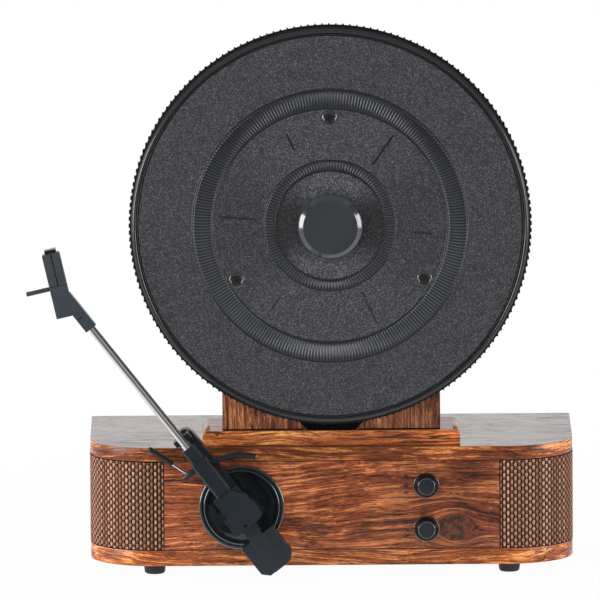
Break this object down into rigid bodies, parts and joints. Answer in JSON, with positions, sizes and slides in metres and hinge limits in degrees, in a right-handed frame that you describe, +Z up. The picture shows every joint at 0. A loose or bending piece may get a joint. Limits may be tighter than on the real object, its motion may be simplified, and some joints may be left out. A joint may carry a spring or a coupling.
{
  "type": "record player",
  "caption": "Upright record player: wooden cabinet with wrapped speaker grilles, column with a vertical ribbed platter and clamp, and a front tonearm with a cue lever and rotary knobs.",
  "frame": {"origin": "on the table, under the middle of the cabinet", "axes": "+X to the right seen from the front, +Y to the back, +Z up; the platter faces -Y"},
  "size_m": [0.4175, 0.2205, 0.4287],
  "materials": {
    "wood_veneer": "reddish brown veneer under clear gloss lacquer",
    "wood_dark": "dark stained board",
    "grille_cloth": "coarse basket weave in copper brown and black",
    "black_plastic": "fine grained satin black moulding",
    "gloss_black": "glossy black moulding",
    "steel": "plain turned or pressed steel",
    "brass": "turned brass",
    "chrome": "polished chrome plate",
    "rubber": "moulded black rubber",
    "speaker_paper": "grey pressed paper",
    "circuit_board": "green lacquered board with black parts",
    "red_plastic": "translucent red moulding"
  },
  "bodies": {
    "cabinet": {"bottom_board": "wood_veneer", "top_board": "wood_veneer", "front_panel": "wood_veneer", "side_panels": "wood_veneer", "back_panel": "wood_dark", "corner_blocks": "wood_dark", "grille_frames": "black_plastic", "left_grille_cloth": "grille_cloth", "right_grille_cloth": "grille_cloth", "speaker_baffles": "wood_dark", "speaker_frames": "steel", "speaker_cones": "speaker_paper", "feet": "rubber", "wood_screws": "steel", "main_board": "circuit_board", "board_standoffs": "brass", "jack_plate": "black_plastic", "rca_sockets": "steel", "aux_socket": "black_plastic", "power_inlet": "black_plastic", "tier_plate": "wood_veneer", "column": "wood_veneer", "column_back": "wood_dark", "tower_bolts": "steel", "bearing_flange": "black_plastic", "bearing_bush": "brass", "motor_plate": "black_plastic", "motor": "steel", "drive_belt": "rubber", "rotary_switches": "steel", "arm_base": "gloss_black", "arm_nut": "steel", "arm_bush": "brass", "arm_rest": "black_plastic"},
    "turntable": {"spindle": "steel", "spindle_clip": "steel", "drive_wheel": "black_plastic", "platter": "black_plastic", "grip_band": "rubber", "platter_screws": "steel"},
    "clamp": {"record_clamp": "gloss_black"},
    "pulley": {"motor_pulley": "brass"},
    "speed_control": {"speed_knob": "gloss_black", "speed_shaft": "steel"},
    "function_control": {"function_knob": "gloss_black", "function_shaft": "steel"},
    "turret": {"arm_turret": "black_plastic", "pivot_shaft": "steel", "tilt_pins": "steel"},
    "tonearm": {"arm_carrier": "black_plastic", "pivot_cap": "gloss_black", "arm_tube": "chrome", "headshell": "black_plastic", "cartridge": "gloss_black", "stylus": "red_plastic", "counterweight": "black_plastic"},
    "cue": {"cue_lever": "black_plastic", "cue_rod": "chrome", "cue_grip": "rubber"},
    "lift": {"lifter": "black_plastic"}
  },
  "joints": [
    {"name": "platter_spin", "type": "hinge", "parent": "cabinet", "child": "turntable", "pos_m": [0, -0.09, 0.275], "axis": [0, 1, 0], "continuous": true},
    {"name": "pulley_spin", "type": "hinge", "parent": "cabinet", "child": "pulley", "pos_m": [0, -0.0875, 0.151], "axis": [0, 1, 0], "continuous": true},
    {"name": "clamp_pull", "type": "slide", "parent": "turntable", "child": "clamp", "axis": [0, -1, 0], "range_m": [0, 0.03]},
    {"name": "speed_turn", "type": "hinge", "parent": "cabinet", "child": "speed_control", "pos_m": [0.0724, -0.08, 0.07165], "axis": [0, 1, 0], "range_deg": [-30, 30]},
    {"name": "function_turn", "type": "hinge", "parent": "cabinet", "child": "function_control", "pos_m": [0.0724, -0.08, 0.03805], "axis": [0, 1, 0], "range_deg": [-30, 30]},
    {"name": "arm_swing", "type": "hinge", "parent": "cabinet", "child": "turret", "pos_m": [-0.069, -0.1, 0.05575], "axis": [0, 1, 0], "range_deg": [0, 41]},
    {"name": "arm_tilt", "type": "hinge", "parent": "turret", "child": "tonearm", "pos_m": [-0.069, -0.116, 0.05575], "axis": [0.7869, 0, 0.617], "range_deg": [-2, 0]},
    {"name": "cue_turn", "type": "hinge", "parent": "cabinet", "child": "cue", "pos_m": [-0.09738, -0.0933, 0.09195], "axis": [0.7869, 0, 0.617], "range_deg": [0, 90]},
    {"name": "lifter_slide", "type": "slide", "parent": "cabinet", "child": "lift", "axis": [0, 1, 0], "range_m": [0, 0.0018]}
  ],
  "couplings": [
    {"joint": "pulley_spin", "follows": "platter_spin", "ratio": 26},
    {"joint": "cue_turn", "follows": "arm_tilt", "ratio": -45},
    {"joint": "lifter_slide", "follows": "arm_tilt", "m_per_rad": -0.05156}
  ]
}
